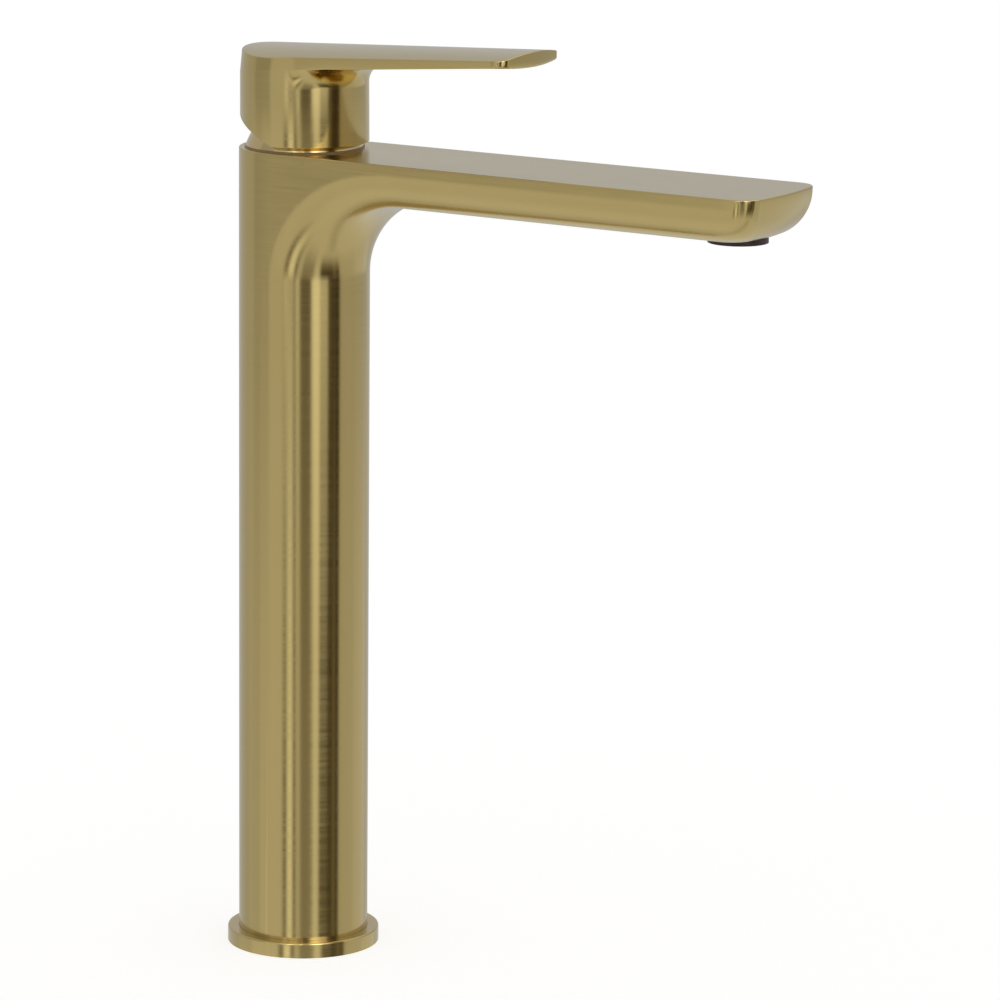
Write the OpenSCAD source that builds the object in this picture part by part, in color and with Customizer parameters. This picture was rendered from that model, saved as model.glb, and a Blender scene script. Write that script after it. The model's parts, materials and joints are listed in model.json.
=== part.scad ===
// Single-lever bathroom mixer faucet, tall vessel-basin type.
// The origin is on the column's axis at the deck; +Z is up and the spout points along +X.

/* [Column] */
// Outer radius of the column
column_r = 23; // [21.5:0.5:28]
// Height of the flat top face of the body above the deck
body_h = 287; // [255:1:360]
// Wall of the column
column_wall = 2.4; // [2:0.1:2.8]

/* [Spout] */
// Distance from the column's axis to the spout's tip
spout_reach = 193.1; // [150:1:240]
// Thickness of the spout
spout_t = 16; // [15:0.5:20]
// How much the spout's half width grows over its length
spout_flare = 1.5; // [0:0.1:4]
// Radius of the front corners in plan
spout_corner_r = 8; // [4:0.5:12]
// How far the front edge bows out
spout_bow = 2.8; // [0.5:0.1:4]
// Width of the rounding under each side edge
side_round = 10; // [5:0.5:11]
// Straight part of the side above its rounding
side_flat = 3; // [1:0.5:5]
// Length of the rounding under the front edge
nose_round = 10.3; // [6:0.5:22]
// Radius of the fillet between the column and the spout's underside
neck_fillet_r = 28; // [12:1:34]
// Chamfer of the edge round the top face
top_edge = 0.4; // [0.2:0.1:0.8]
// Distance from the spout's tip back to the middle of the water outlet
outlet_inset = 19.3; // [17:0.1:40]

/* [Base ring] */
// Outer radius of the base ring
base_r = 27; // [26:0.5:34]
// Height of the base ring
base_h = 5.4; // [4:0.2:10]
// Height of the ledge that the body stands on
ledge_h = 2.4; // [2:0.1:3]
// Thickness of the sealing gasket
gasket_t = 1.4; // [1:0.1:1.6]

/* [Handle] */
// Radius of the knob
knob_r = 22.6; // [22.2:0.1:25]
// Radius of the knob's upper rim
knob_top_r = 22; // [21:0.1:22.5]
// Gap between the body's top face and the knob's lower edge
knob_gap = 2.15; // [1.9:0.05:4]
// Height of the handle's top line above the body's top face, at the column's axis
handle_h = 35.7; // [34:0.5:44]
// Distance from the column's axis to the handle's tip
handle_reach = 94.2; // [70:1:130]
// Half width of the blade where it leaves the knob
blade_w0 = 21.2; // [17:0.2:22]
// Half width of the blade at its tip
blade_w1 = 18.6; // [12:0.2:21]
// Rise of the handle's top line, in degrees
top_rise = 2.7; // [0:0.1:6]
// Rise of the blade's underside, in degrees
under_rise = 4.6; // [0:0.1:6]
// Thickness of the blade's side below the top line, at the column's axis
blade_drop = 7.2; // [5:0.1:10]
// Radius of the crowned top
crown_r = 100; // [60:5:300]
// Radius of the bellied underside
belly_r = 140; // [80:5:300]
// Radius of the blade's front corners in plan
blade_corner_r = 4.5; // [2:0.5:9]
// How far the blade's front edge bows out
blade_bow = 2; // [0.5:0.1:3]
// Radius of the fillet between the knob and the blade
blade_fillet_r = 7.5; // [1:0.1:8]

/* [Mechanism] */
// Height of the lever's tilt axis below the body's top face
pivot_drop = 6.4; // [5:0.1:7.5]
// Full lift of the lever, in degrees
lift_max = 25; // [15:1:26]
// Radius of the polished dome under the knob
dome_r = 21.8; // [21.4:0.1:22]
// Gap between the dome and the knob
dome_gap = 0.3; // [0.25:0.05:0.5]
// Outer radius of the cartridge
cartridge_r = 17.5; // [17:0.1:17.6]
// Depth of the cartridge's seat below the body's top face
seat_drop = 37; // [36:0.5:60]
// Radius of the lever's tilt pin
pin_r = 2; // [1.5:0.1:2.4]
// Radius of the lever's stem
stem_r = 3.8; // [3:0.1:4]
// Radius of the ball at the stem's lower end
ball_r = 3; // [2.5:0.1:3.4]
// Distance from the tilt pin down to the ball
ball_drop = 12.6; // [12:0.1:13.4]

/* [Water ways] */
// Outer radius of each supply tube
tube_r = 5; // [4.5:0.1:5.4]
// Distance from the column's axis to each supply tube
tube_y = 10.5; // [10.2:0.1:11.4]
// Inner radius of each supply tube
tube_bore_r = 3.5; // [2.5:0.1:4]
// Minor radius of the M10 x 1 hose threads
hose_thread_r = 4.46; // [4.2:0.02:4.6]
// Minor radius of the M8 fixing thread
stud_thread_r = 3.32; // [2.9:0.02:3.6]
// Depth of the fixing and hose threads
thread_depth = 12; // [8:0.5:14]
// Radius of the aerator
aerator_r = 10.3; // [9:0.1:12]
// How far the aerator stands out below the spout
aerator_proud = 2; // [0.5:0.1:4]

/* [Clearances] */
// Radial running clearance of turning and sliding fits
run_gap = 0.05; // [0.02:0.01:0.1]
// Radial clearance of pieces that are pushed together
slip_gap = 0.1; // [0.05:0.01:0.2]
// Free space round pieces that move past each other
free_gap = 0.3; // [0.2:0.05:0.4]

/* [Hidden] */

$fn = 96;
fine_fn = 200;
small_fn = 48;
eps = 0.01;
over = 1;
big = 400;

brass = [0.66, 0.57, 0.36];
raw_brass = [0.76, 0.63, 0.33];
dark_plastic = [0.16, 0.13, 0.10];
pale_plastic = [0.88, 0.87, 0.82];
ceramic = [0.93, 0.92, 0.88];
rubber = [0.08, 0.08, 0.08];
steel = [0.72, 0.73, 0.74];

bore_r = column_r - column_wall;
spout_bottom = body_h - spout_t;
flare_slope = spout_flare / spout_reach;
outlet_x = spout_reach - outlet_inset;
pivot_z = body_h - pivot_drop;
seat_z = body_h - seat_drop;
ring_bore_r = column_r + slip_gap;
ledge_w = 1.2;
spigot_r = bore_r - ledge_w;

// ---------------------------------------------------------------- plan outlines
// A bar runs from the axis towards +X, with flared sides, rounded corners and a bowed front.
// Its outline is drawn as one half with y >= 0, from the front round to the back.
front_steps = 5;
corner_steps = 8;
side_steps = 11;
side_crowding = 1.5;
neck_steps = 14;
wall_steps = 6;
back_steps = 13;
corner_max_w = 0.95;
corner_max_l = 0.45;

// The larger of two lengths, with a smooth passage from one to the other
function smooth_max(a, b, width) =
    let (near = max(width - abs(a - b), 0))
    max(a, b) + near * near / (4 * width);

// Half of a bar with a bowed front and rounded corners, from its tip back to x = side_end
function bar_half(half_w, slope, reach, corner_r, bow, side_end) =
    let (
        r = min(corner_r, half_w * corner_max_w, reach * corner_max_l),
        tip_w = half_w + slope * (reach - bow - r),
        corner_y = tip_w - r,
        corner_x = reach - bow * pow(corner_y / tip_w, 2) - r
    )
    concat(
        [for (i = [0:front_steps - 1])
            let (y = corner_y * i / front_steps)
            [reach - bow * pow(y / tip_w, 2), y]],
        [for (i = [0:corner_steps - 1])
            let (angle = 90 * i / corner_steps)
            [corner_x + r * cos(angle), corner_y + r * sin(angle)]],
        [for (i = [0:side_steps - 1])
            let (x = side_end + (corner_x - side_end) * pow(1 - i / side_steps, side_crowding))
            [x, half_w + slope * x]]
    );

// Quarter circle from the side round to the back
function rear_half(r) =
    [for (i = [0:back_steps]) let (angle = 90 + 90 * i / back_steps) r * [cos(angle), sin(angle)]];

// A point moved out along its ray where a circle round the axis reaches further, softly
function melted(p, circle_r, melt) =
    smooth_max(circle_r, norm(p), max(melt, eps)) * p / norm(p);

// The closed outline that a half outline and its mirror image make, counter-clockwise from above
function closed(half) =
    concat(half, [for (i = [len(half) - 2:-1:1]) [half[i][0], -half[i][1]]]);

// A closed solid through outlines of the same length that lie one below the other
module stacked(outlines, heights) {
    count = len(outlines[0]);
    levels = len(outlines);
    polyhedron(
        points = [for (k = [0:levels - 1]) for (p = outlines[k]) [p[0], p[1], heights[k]]],
        faces = concat(
            [[for (i = [count - 1:-1:0]) i]],
            [for (k = [0:levels - 2]) for (i = [0:count - 1])
                let (a = k * count + i, b = k * count + (i + 1) % count)
                [a, b, b + count]],
            [for (k = [0:levels - 2]) for (i = [0:count - 1])
                let (a = k * count + i, b = k * count + (i + 1) % count)
                [a, b + count, a + count]],
            [[for (i = [0:count - 1]) (levels - 1) * count + i]]
        ),
        convexity = 6
    );
}

// ---------------------------------------------------------------- body
side_depth = spout_t - side_flat;
flat_half_w = column_r - side_round;
elbow_x = column_r + neck_fillet_r;
elbow_z = spout_bottom - neck_fillet_r;
neck_tail = 2;
level_steps = 8;
elbow_steps = 11;
halvings = 24;
skin = 0.005;
round_r = column_r - skin;
wall_inset = 0.06;
wall_y = round_r - wall_inset;

// Inset of the side and of the front at a depth below the top face
function side_inset(depth) =
    side_round * (1 - sqrt(1 - pow(max(0, depth - side_flat) / side_depth, 2)));
function nose_inset(depth) = nose_round * (1 - sqrt(1 - pow(depth / spout_t, 2)));

// How far the column's front and the spout's underside draw back at a distance y from the middle
function round_back(y) = round_r - sqrt(max(0, round_r * round_r - y * y));
function under_back(y) =
    side_depth * (1 - sqrt(max(0, 1 - pow(max(0, y - flat_half_w) / side_round, 2))));

function eased(share) = share * share * (3 - 2 * share);

// The elbow bends the column's round section into the spout's flat one round an axis along Y
function in_elbow(x, y, rise) =
    let (turn = eased(atan2(rise, elbow_x - x) / 90))
    norm([elbow_x - x, rise])
        > neck_fillet_r + skin + round_back(y) * (1 - turn) + under_back(y) * turn;

// Front of the elbow at a distance from the middle and a rise, found by halving
function elbow_front(y, rise, near, far, left = halvings) =
    left == 0 ? near
    : let (x = (near + far) / 2)
      in_elbow(x, y, rise) ? elbow_front(y, rise, x, far, left - 1)
      : elbow_front(y, rise, near, x, left - 1);

// Points of the elbow's curve and of the flat wall behind it, back to x = 0
function elbow_half(y_list, rise) =
    let (
        flare = flare_slope * eased(min(1, max(0, rise) / neck_fillet_r)),
        curve = [for (y = y_list)
            [rise <= 0 ? round_r - round_back(y)
                : elbow_front(y, rise, round_r - round_back(y), elbow_x), y]],
        end_x = curve[len(curve) - 1][0],
        flat_x = rise <= 0 ? 0 : min(end_x, elbow_front(round_r, rise, 0, elbow_x)),
        wall = [for (i = [1:wall_steps - 1])
            let (x = end_x * (1 - i / wall_steps), part = max(0, x - flat_x) / max(eps, end_x - flat_x))
            [x, round_r - (round_r - wall_y) * part * part]]
    )
    [for (p = concat(curve, wall)) [p[0], p[1] + flare * p[0] * min(1, p[1] / flat_half_w)]];

// Outline of the body at a depth between the top face and the underside
function spout_level(depth, edge = 0) =
    let (
        half_w = column_r - side_inset(depth) - edge,
        rise = body_h - depth - elbow_z,
        flat_w = round_r - edge
    )
    closed(concat(
        bar_half(half_w, flare_slope, spout_reach - nose_inset(depth) - edge, spout_corner_r,
                 spout_bow, elbow_x),
        depth > side_flat
            ? elbow_half([for (i = [0:neck_steps]) half_w + (wall_y - half_w) * eased(i / neck_steps)],
                         rise)
            : [for (i = [0:neck_steps + wall_steps - 1])
                let (x = elbow_x * (1 - i / (neck_steps + wall_steps)))
                [x, flat_w + flare_slope * x]],
        rear_half(flat_w)
    ));

// Outline through the elbow below the spout's underside, at a rise above the elbow's start
function elbow_level(rise) =
    let (front = front_steps + corner_steps + side_steps)
    closed(concat(
        elbow_half(concat(
            [for (i = [0:front - 1]) flat_half_w * i / front],
            [for (i = [0:neck_steps]) flat_half_w + (wall_y - flat_half_w) * eased(i / neck_steps)]
        ), rise),
        rear_half(round_r)
    ));

module body_head() {
    depths = concat([top_edge, side_flat],
                    [for (i = [1:level_steps]) side_flat + side_depth * sin(90 * i / level_steps)]);
    rises = concat([for (i = [1:elbow_steps]) neck_fillet_r * cos(90 * i / elbow_steps)],
                   [-neck_tail]);
    stacked(
        concat([spout_level(0, top_edge)],
               [for (depth = depths) spout_level(depth)],
               [for (rise = rises) elbow_level(rise)]),
        concat([body_h],
               [for (depth = depths) body_h - depth],
               [for (rise = rises) elbow_z + rise])
    );
}

shelf_t = 4;
shelf_w = 3;
shelf_bore_r = bore_r - shelf_w;
housing_floor_t = 14;
housing_z = seat_z - housing_floor_t;
water_roof = 2.6;
water_floor = 2.6;
water_half_w = 15;
water_start = bore_r - 4;
nose_wall = 10;
outlet_lip = 1.4;
boss_wall = 2.5;
boss_h = 10;
seat_step = 1.5;

// Water room inside the spout, round the outlet's threaded boss
module spout_water_way() {
    difference() {
        translate([water_start, -water_half_w, spout_bottom + water_floor])
            cube([spout_reach - nose_wall - water_start, 2 * water_half_w,
                  spout_t - water_roof - water_floor]);
        translate([outlet_x, 0, spout_bottom])
            cylinder(h = boss_h, r = aerator_r + slip_gap + boss_wall);
    }
}

module faucet_body() {
    color(brass)
    difference() {
        union() {
            translate([0, 0, ledge_h])
                cylinder(h = elbow_z - neck_tail / 2 - ledge_h, r = column_r);
            body_head();
        }
        translate([0, 0, ledge_h - over])
            cylinder(h = housing_z - shelf_t - ledge_h + over, r = bore_r);
        translate([0, 0, housing_z - shelf_t - over])
            cylinder(h = shelf_t + 2 * over, r = shelf_bore_r);
        translate([0, 0, housing_z])
            cylinder(h = body_h - housing_z + over, r = bore_r);
        spout_water_way();
        translate([outlet_x, 0, spout_bottom - over])
            cylinder(h = boss_h + over - seat_step, r = aerator_r + slip_gap);
        translate([outlet_x, 0, spout_bottom])
            cylinder(h = boss_h + over, r = aerator_r - outlet_lip);
    }
}

// ---------------------------------------------------------------- foot
rim_in_w = 1.2;
rim_out_w = 1;
gasket_in_r = spigot_r + rim_in_w;
gasket_out_r = base_r - rim_out_w;
ring_edge = 0.5;
ring_bevel = 0.15;

module base_ring() {
    color(brass)
    rotate_extrude()
        polygon([
            [spigot_r + slip_gap, 0], [gasket_in_r, 0], [gasket_in_r, gasket_t],
            [gasket_out_r, gasket_t], [gasket_out_r, 0], [base_r, 0],
            [base_r, base_h - ring_edge], [base_r - ring_bevel, base_h - ring_bevel],
            [base_r - ring_edge, base_h], [ring_bore_r, base_h],
            [ring_bore_r, ledge_h], [spigot_r + slip_gap, ledge_h]
        ]);
}

module base_gasket() {
    color(rubber)
    rotate_extrude()
        translate([gasket_in_r + slip_gap, 0])
            square([gasket_out_r - gasket_in_r - 2 * slip_gap, gasket_t]);
}

block_h = 22;
socket_depth = 6;
oring_r = 0.8;
oring_gap = 0.02;

// Socket for a supply tube, with the groove for its O-ring, opening upwards from z = 0
module tube_socket(depth) {
    cylinder(h = depth + eps, r = tube_r + run_gap);
    translate([0, 0, depth / 2 - oring_r - slip_gap])
        cylinder(h = 2 * (oring_r + slip_gap), r = tube_r + 2 * oring_r + slip_gap);
}

module inlet_block() {
    color(raw_brass)
    difference() {
        union() {
            cylinder(h = ledge_h + over, r = spigot_r);
            translate([0, 0, ledge_h])
                cylinder(h = block_h - ledge_h, r = bore_r - slip_gap);
        }
        translate([0, 0, -over])
            cylinder(h = thread_depth + over, r = stud_thread_r);
        for (side = [-1, 1])
            translate([0, side * tube_y, 0]) {
                translate([0, 0, -over])
                    cylinder(h = thread_depth + over, r = hose_thread_r);
                cylinder(h = block_h, r = tube_bore_r);
                translate([0, 0, block_h - socket_depth])
                    tube_socket(socket_depth);
            }
    }
}

tube_low_z = block_h - socket_depth;
tube_top_z = housing_z + socket_depth;

module supply_tube(side) {
    color(steel)
    translate([0, side * tube_y, tube_low_z])
        difference() {
            cylinder(h = tube_top_z - tube_low_z, r = tube_r);
            translate([0, 0, -over])
                cylinder(h = tube_top_z - tube_low_z + 2 * over, r = tube_bore_r);
        }
}

module hot_supply_tube() {
    supply_tube(-1);
}

module cold_supply_tube() {
    supply_tube(1);
}

// A rubber ring of round section whose inside just clears a radius
module o_ring(inner_r, section_r) {
    rotate_extrude()
        translate([inner_r + section_r, 0])
            circle(r = section_r, $fn = small_fn);
}

module tube_seals() {
    color(rubber)
    for (side = [-1, 1])
        for (z = [block_h - socket_depth / 2, housing_z + socket_depth / 2])
            translate([0, side * tube_y, z])
                o_ring(tube_r + oring_gap, oring_r);
}

// ---------------------------------------------------------------- valve housing
sleeve_gap = 1.4;
sleeve_r = bore_r - sleeve_gap;
sleeve_bore_r = cartridge_r + slip_gap;
flange_r = bore_r - slip_gap;
low_flange_t = 5;
top_flange_t = 3.7;
groove_h = 1.9;
groove_depth = 1.3;
seal_section_r = 0.62;
inlet_x = 3.5;
inlet_y = 7;
inlet_r = 2.4;
outlet_port_x = -5.5;
outlet_port_r = 3.2;
cross_drill_r = 2.6;
cross_drill_drop = 5;
outlet_well = 6;

// Ring-shaped groove cut into the rim of a flange, centred on z = 0
module rim_groove() {
    difference() {
        translate([0, 0, -groove_h / 2])
            cylinder(h = groove_h, r = flange_r + over);
        translate([0, 0, -groove_h])
            cylinder(h = 2 * groove_h, r = flange_r - groove_depth);
    }
}

low_groove_z = housing_z + low_flange_t / 2;
top_groove_z = body_h - top_flange_t / 2;

module valve_housing() {
    color(raw_brass)
    difference() {
        union() {
            translate([0, 0, housing_z])
                cylinder(h = low_flange_t, r = flange_r);
            translate([0, 0, housing_z])
                cylinder(h = body_h - housing_z, r = sleeve_r);
            translate([0, 0, body_h - top_flange_t])
                cylinder(h = top_flange_t, r = flange_r);
        }
        translate([0, 0, seat_z])
            cylinder(h = seat_drop + over, r = sleeve_bore_r);
        for (z = [low_groove_z, top_groove_z])
            translate([0, 0, z])
                rim_groove();
        for (side = [-1, 1]) {
            translate([inlet_x, side * inlet_y, housing_z + socket_depth - over])
                cylinder(h = housing_floor_t, r = inlet_r);
            translate([0, side * tube_y, housing_z + socket_depth])
                rotate([180, 0, 0])
                    tube_socket(socket_depth);
        }
        translate([outlet_port_x, 0, seat_z - outlet_well])
            cylinder(h = outlet_well + over, r = outlet_port_r);
        translate([outlet_port_x, 0, seat_z - cross_drill_drop])
            rotate([0, -90, 0])
                cylinder(h = column_r, r = cross_drill_r);
    }
}

module housing_seals() {
    color(rubber)
    for (z = [low_groove_z, top_groove_z])
        translate([0, 0, z])
            o_ring(flange_r - groove_depth + oring_gap, seal_section_r);
}

// ---------------------------------------------------------------- cartridge
base_t = 4;
disc_t = 3.6;
moving_disc_t = 3.2;
carrier_plate_t = 3.6;
carrier_hub_r = 6.5;
carrier_lip = 1.8;
disc_r = 13.5;
moving_disc_r = 12;
half_travel = ball_drop * sin(lift_max) / 2;
port_seal_w = 1.8;
port_seal_h = 1.35;
shell_wall = 1.6;
shoulder_drop = 4.6;
shell_bore_r = cartridge_r - shell_wall;
shell_shoulder_z = pivot_z - shoulder_drop;
shell_lip_t = 2.4;
neck_r = 13.8;
neck_bore_r = 12.4;
neck_h = 7.4;
disc_z = seat_z + base_t;
moving_z = disc_z + disc_t;
carrier_z = moving_z + moving_disc_t;
ball_z = pivot_z - ball_drop;
carrier_top = ball_z + carrier_lip;
collar_z = carrier_top + free_gap;
collar_flange_top = shell_shoulder_z - shell_lip_t - run_gap;

// The three ports through the cartridge's base and the fixed disc
module ports(low_z, height, grow = 0) {
    for (side = [-1, 1])
        translate([inlet_x, side * inlet_y, low_z])
            cylinder(h = height, r = inlet_r + grow);
    translate([outlet_port_x, 0, low_z])
        cylinder(h = height, r = outlet_port_r + grow);
}

module cartridge_base() {
    color(pale_plastic)
    difference() {
        translate([0, 0, seat_z])
            cylinder(h = base_t, r = cartridge_r);
        ports(seat_z - over, base_t + 2 * over);
        ports(seat_z - over, over + port_seal_h, port_seal_w + slip_gap);
    }
}

module cartridge_seals() {
    color(rubber) {
        for (side = [-1, 1])
            translate([inlet_x, side * inlet_y, seat_z])
                port_seal(inlet_r);
        translate([outlet_port_x, 0, seat_z])
            port_seal(outlet_port_r);
    }
}

// A flat rubber ring round a port
module port_seal(port_r) {
    difference() {
        cylinder(h = port_seal_h, r = port_r + port_seal_w);
        translate([0, 0, -over])
            cylinder(h = port_seal_h + 2 * over, r = port_r);
    }
}

module fixed_disc() {
    color(ceramic)
    difference() {
        translate([0, 0, disc_z])
            cylinder(h = disc_t, r = disc_r);
        ports(disc_z - over, disc_t + 2 * over);
    }
}

recess_depth = 2;
recess_r = 5;
recess_wing_y = 6.2;
recess_wing_r = 2.9;

// Recess that joins the ports when the disc slides forwards
module mixing_recess() {
    translate([-2 * half_travel, 0, -over]) {
        cylinder(h = recess_depth + over, r = recess_r);
        for (side = [-1, 1])
            translate([0, side * recess_wing_y, 0])
                cylinder(h = recess_depth + over, r = recess_wing_r);
    }
}

module moving_disc() {
    color(ceramic)
    difference() {
        translate([-half_travel, 0, moving_z])
            cylinder(h = moving_disc_t, r = moving_disc_r);
        translate([0, 0, moving_z])
            mixing_recess();
    }
}

rail_y = 10.6;
rail_half_l = 4;
rail_reach = 9;
pin_fit = 0.02;

module disc_carrier() {
    color(pale_plastic)
    difference() {
        union() {
            intersection() {
                translate([-half_travel, 0, carrier_z])
                    cylinder(h = carrier_plate_t, r = moving_disc_r);
                translate([-big / 2, -rail_y, carrier_z - over])
                    cube([big, 2 * rail_y, carrier_plate_t + 2 * over]);
            }
            translate([0, 0, carrier_z])
                cylinder(h = carrier_top - carrier_z, r = carrier_hub_r);
        }
        translate([0, 0, ball_z - ball_r - free_gap])
            cylinder(h = big, r = ball_r + 2 * slip_gap);
    }
}

module cartridge_shell() {
    color(pale_plastic)
    difference() {
        union() {
            translate([0, 0, disc_z])
                cylinder(h = shell_shoulder_z - disc_z, r = cartridge_r);
            translate([0, 0, shell_shoulder_z - over])
                cylinder(h = neck_h + over, r = neck_r);
        }
        translate([0, 0, disc_z - over])
            cylinder(h = disc_t + over, r = disc_r + slip_gap);
        translate([0, 0, moving_z - eps])
            cylinder(h = shell_shoulder_z - shell_lip_t - moving_z + eps, r = shell_bore_r);
        cylinder(h = big, r = neck_bore_r);
    }
}

collar_r = shell_bore_r - run_gap;
cheek_r = neck_bore_r - run_gap;
cheek_h = 5;
cheek_wall = 1.2;
cheek_top = pivot_z + cheek_h;
slot_half_w = stem_r + free_gap;
back_gap = 3;
back_gap_drop = 2;
pin_inset = 0.8;

module swivel_collar() {
    color(pale_plastic)
    difference() {
        union() {
            translate([0, 0, collar_z])
                cylinder(h = collar_flange_top - collar_z, r = collar_r);
            translate([0, 0, collar_z])
                cylinder(h = cheek_top - collar_z, r = cheek_r);
            for (side = [-1, 1])
                intersection() {
                    translate([0, 0, carrier_z + over])
                        cylinder(h = collar_z - carrier_z, r = collar_r);
                    translate([-rail_half_l,
                               side * (rail_y + run_gap + rail_reach / 2) - rail_reach / 2,
                               carrier_z])
                        cube([2 * rail_half_l, rail_reach, collar_z - carrier_z + over]);
                }
        }
        translate([-cheek_r + cheek_wall, -slot_half_w, carrier_z])
            cube([2 * (cheek_r - cheek_wall), 2 * slot_half_w, big]);
        translate([0, cheek_r + over, pivot_z])
            rotate([90, 0, 0])
                cylinder(h = 2 * (cheek_r + over), r = pin_r + pin_fit);
        translate([-cheek_r - over, -slot_half_w, pivot_z - back_gap_drop])
            cube([back_gap + over, 2 * slot_half_w, big]);
    }
}

module pivot_pin() {
    color(steel)
    translate([0, cheek_r - pin_inset, pivot_z])
        rotate([90, 0, 0])
            cylinder(h = 2 * (cheek_r - pin_inset), r = pin_r);
}

crown_wall = 8.4;
arm_r = 2.2;
socket_top = body_h + handle_h - crown_wall;
stem_top = socket_top - 2 * slip_gap;

module spindle() {
    color(steel)
    difference() {
        union() {
            translate([0, 0, ball_z])
                sphere(r = ball_r);
            translate([0, 0, ball_z])
                cylinder(h = ball_drop, r = arm_r);
            translate([0, stem_r, pivot_z])
                rotate([90, 0, 0])
                    cylinder(h = 2 * stem_r, r = stem_r);
            translate([0, 0, pivot_z])
                cylinder(h = stem_top - pivot_z, r = stem_r);
        }
        translate([0, stem_r + over, pivot_z])
            rotate([90, 0, 0])
                cylinder(h = 2 * (stem_r + over), r = pin_r + run_gap);
    }
}

nut_r = sleeve_bore_r - slip_gap;
nut_bore_r = neck_r + slip_gap;
nut_thread_h = 4;
nut_hex_h = 3;
nut_top = shell_shoulder_z + nut_thread_h + nut_hex_h;

module retaining_nut() {
    color(raw_brass)
    difference() {
        union() {
            translate([0, 0, shell_shoulder_z])
                cylinder(h = nut_thread_h, r = nut_r);
            translate([0, 0, shell_shoulder_z])
                cylinder(h = nut_top - shell_shoulder_z, r = nut_r - free_gap, $fn = 6);
        }
        translate([0, 0, shell_shoulder_z - over])
            cylinder(h = big, r = nut_bore_r);
    }
}

// ---------------------------------------------------------------- dome under the knob
slip_ring_r = 21;
slip_ring_h = 0.5;
dome_web_top = 1.5;
dome_wall = 1.4;
dome_mouth_r = 14.2;
skirt_wall = 1.5;
skirt_r = sleeve_bore_r - slip_gap;
skirt_low = nut_top + free_gap;

module slip_ring() {
    color(dark_plastic)
    translate([0, 0, body_h])
        difference() {
            cylinder(h = slip_ring_h, r = slip_ring_r);
            translate([0, 0, -over])
                cylinder(h = slip_ring_h + 2 * over, r = sleeve_bore_r + free_gap);
        }
}

module dome_cap() {
    color(brass)
    difference() {
        union() {
            intersection() {
                translate([0, 0, pivot_z])
                    sphere(r = dome_r, $fn = fine_fn);
                translate([0, 0, body_h + slip_ring_h])
                    cylinder(h = big, r = column_r);
            }
            translate([0, 0, skirt_low])
                cylinder(h = body_h + dome_web_top - skirt_low, r = skirt_r);
        }
        difference() {
            translate([0, 0, pivot_z])
                sphere(r = dome_r - dome_wall, $fn = fine_fn);
            translate([0, 0, -eps])
                cylinder(h = body_h + dome_web_top, r = column_r + over);
        }
        cylinder(h = body_h + dome_web_top + eps, r = skirt_r - skirt_wall);
        cylinder(h = big, r = dome_mouth_r);
    }
}

// ---------------------------------------------------------------- handle
knob_z = body_h + knob_gap;
handle_top_z = body_h + handle_h;
blade_slope = (blade_w1 - blade_w0) / handle_reach;
grub_rise = 5;
grub_z = pivot_z + dome_r + grub_rise;
grub_r = 2.5;
grub_l = 9;
grub_key_r = 1.45;
grub_key_depth = 3;
cut_start_x = 1;
draft_h = 10;
draft_z = handle_top_z - draft_h;
rim_margin = 0.1;
blade_fillet_root = 3;
blade_belly = pow(blade_w1, 2) / (2 * belly_r);
blade_fillet_z = handle_top_z - blade_drop - blade_belly + pow(blade_w0, 2) / (2 * belly_r);

// Everything under the handle's crowned, rising top
module under_crown() {
    translate([0, 0, handle_top_z])
        rotate([0, 90 - top_rise, 0])
            translate([crown_r, 0, 0])
                cylinder(h = big, r = crown_r, center = true, $fn = fine_fn);
}

// Everything above the blade's bellied, rising underside
module above_belly() {
    translate([0, 0, handle_top_z - blade_drop - blade_belly])
        rotate([0, 90 - under_rise, 0])
            translate([-belly_r, 0, 0])
                cylinder(h = big, r = belly_r, center = true, $fn = fine_fn);
}

// Concave ring that leads from the knob into the edges of the blade's underside
module blade_fillet() {
    translate([0, 0, blade_fillet_z])
        rotate([0, -under_rise, 0])
            rotate_extrude()
                difference() {
                    translate([knob_r - blade_fillet_root, -blade_fillet_r])
                        square([blade_fillet_root + blade_fillet_r, blade_fillet_r]);
                    translate([knob_r + blade_fillet_r, -blade_fillet_r])
                        circle(r = blade_fillet_r, $fn = small_fn);
                }
}

module handle_plan() {
    rim_r = knob_top_r - rim_margin;
    polygon(closed(concat(
        [for (p = bar_half(blade_w0, blade_slope, handle_reach, blade_corner_r, blade_bow, 0))
            melted(p, rim_r, knob_top_r - blade_w0)],
        rear_half(rim_r)
    )));
}

module blade() {
    intersection() {
        translate([0, 0, knob_z])
            linear_extrude(big)
                handle_plan();
        union() {
            above_belly();
            blade_fillet();
        }
    }
}

module handle() {
    color(brass)
    difference() {
        intersection() {
            union() {
                translate([0, 0, knob_z])
                    cylinder(h = draft_z - knob_z, r = knob_r);
                translate([0, 0, draft_z])
                    cylinder(h = handle_top_z - draft_z, r1 = knob_r, r2 = knob_top_r);
                blade();
            }
            under_crown();
        }
        translate([cut_start_x, 0, knob_z])
            rotate([0, lift_max, 0])
                translate([-big, -big / 2, -big])
                    cube([big, big, big]);
        translate([0, 0, pivot_z])
            sphere(r = dome_r + dome_gap, $fn = fine_fn);
        translate([0, 0, pivot_z])
            cylinder(h = socket_top - pivot_z, r = stem_r + slip_gap);
        translate([0, 0, grub_z])
            rotate([0, -90, 0])
                cylinder(h = knob_r + over, r = grub_r + slip_gap);
    }
}

module grub_screw() {
    color(steel)
    translate([-stem_r - run_gap, 0, grub_z])
        rotate([0, -90, 0])
            difference() {
                cylinder(h = grub_l, r = grub_r);
                translate([0, 0, grub_l - grub_key_depth])
                    cylinder(h = grub_key_depth + over, r = grub_key_r, $fn = 6);
            }
}

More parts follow.
